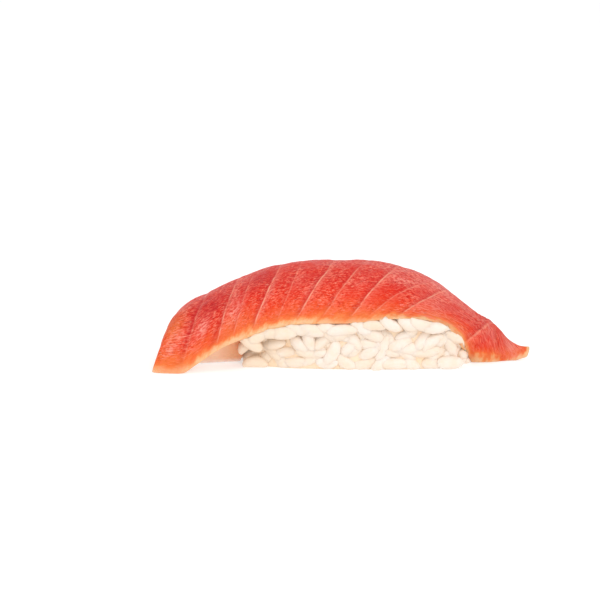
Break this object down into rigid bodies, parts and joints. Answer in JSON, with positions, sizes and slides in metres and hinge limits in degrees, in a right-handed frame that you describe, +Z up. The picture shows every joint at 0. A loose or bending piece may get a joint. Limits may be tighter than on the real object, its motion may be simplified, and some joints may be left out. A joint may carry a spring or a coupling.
{
  "type": "tuna nigiri",
  "caption": "Hand-pressed finger of cooked rice with a leaning slice of raw red tuna draped over it, its pointed tail and its blunt head both drooping to the plate.",
  "frame": {"origin": "centre of the rice's flat base", "axes": "+X along the nigiri to the slice's pointed tail, +Z up, -Y the side that shows the rice best"},
  "size_m": [0.0865, 0.0312, 0.0224],
  "materials": {
    "raw_tuna": "moist red flesh with pale sinews, orange to peach at its thin edges",
    "cooked_rice": "cream white grains, slightly translucent and sticky"
  },
  "bodies": {
    "root": {"tuna_slice": "raw_tuna", "rice_body": "cooked_rice"}
  },
  "joints": []
}
